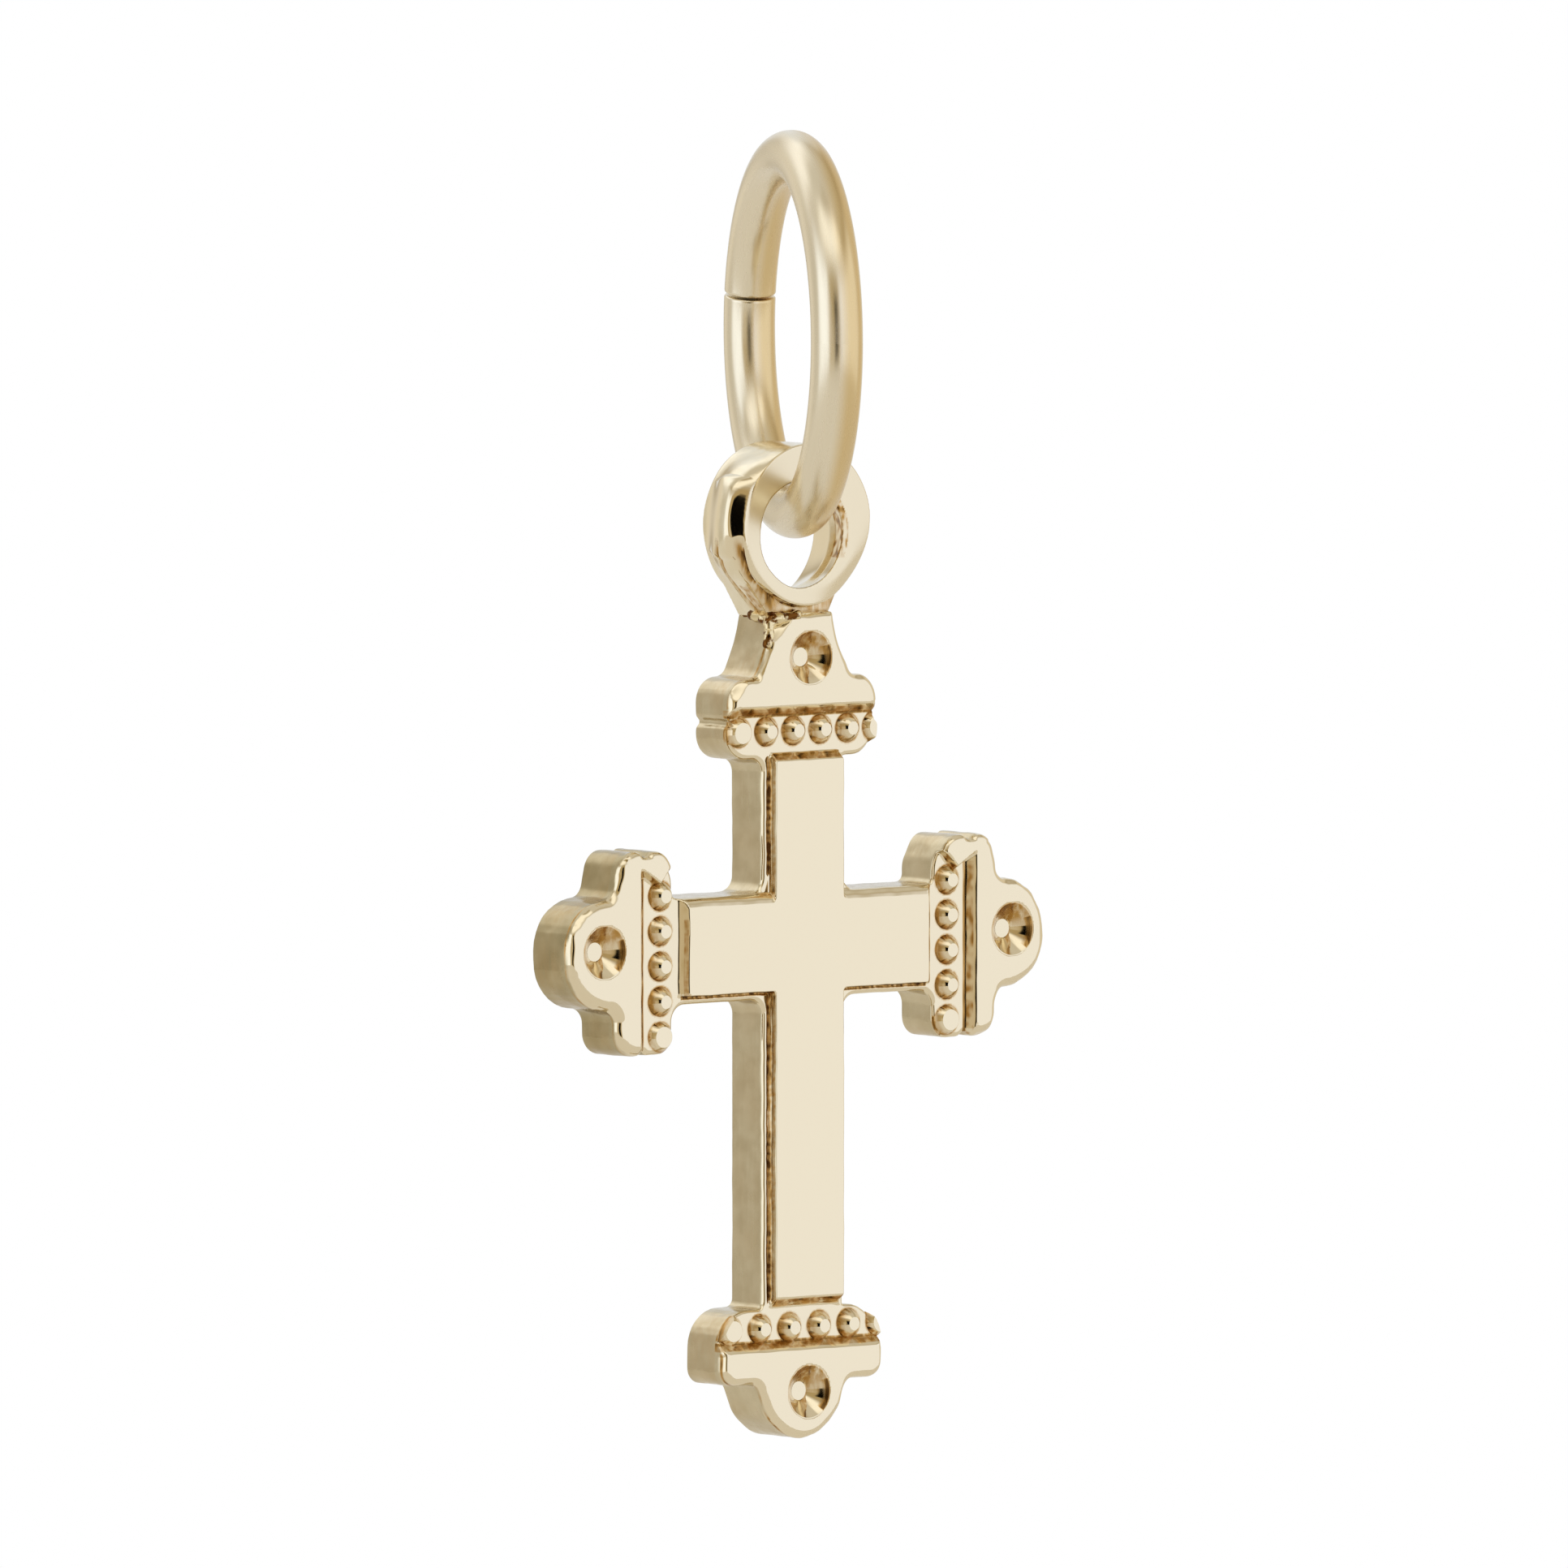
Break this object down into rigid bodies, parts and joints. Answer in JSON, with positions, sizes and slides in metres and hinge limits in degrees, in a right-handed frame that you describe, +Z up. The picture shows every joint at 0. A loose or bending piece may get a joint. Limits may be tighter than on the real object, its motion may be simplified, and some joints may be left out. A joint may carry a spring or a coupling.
{
  "type": "cross charm",
  "caption": "Small cast cross pendant with beaded, budded ends and a soldered flat bail loop, hanging free on a split round-wire jump ring.",
  "frame": {"origin": "the hang point: inside the top of the jump ring, where the wire bears on what it hangs from", "axes": "+Z up, +X to the right as seen from the front, the cross's front face towards -Y and its flat back towards +Y"},
  "size_m": [0.011, 0.0066, 0.0231],
  "materials": {
    "drawn_wire": "drawn yellow gold wire, soft satin polish",
    "polished_casting": "cast yellow gold, mirror polished"
  },
  "bodies": {
    "ring": {"jump_ring": "drawn_wire"},
    "pendant": {"cross_pendant": "polished_casting"}
  },
  "joints": [
    {"name": "pendant_swing", "type": "hinge", "parent": "ring", "child": "pendant", "pos_m": [-0.00016, 0.00008, -0.00618], "axis": [0, 1, 0], "range_deg": [-130, 130]}
  ]
}
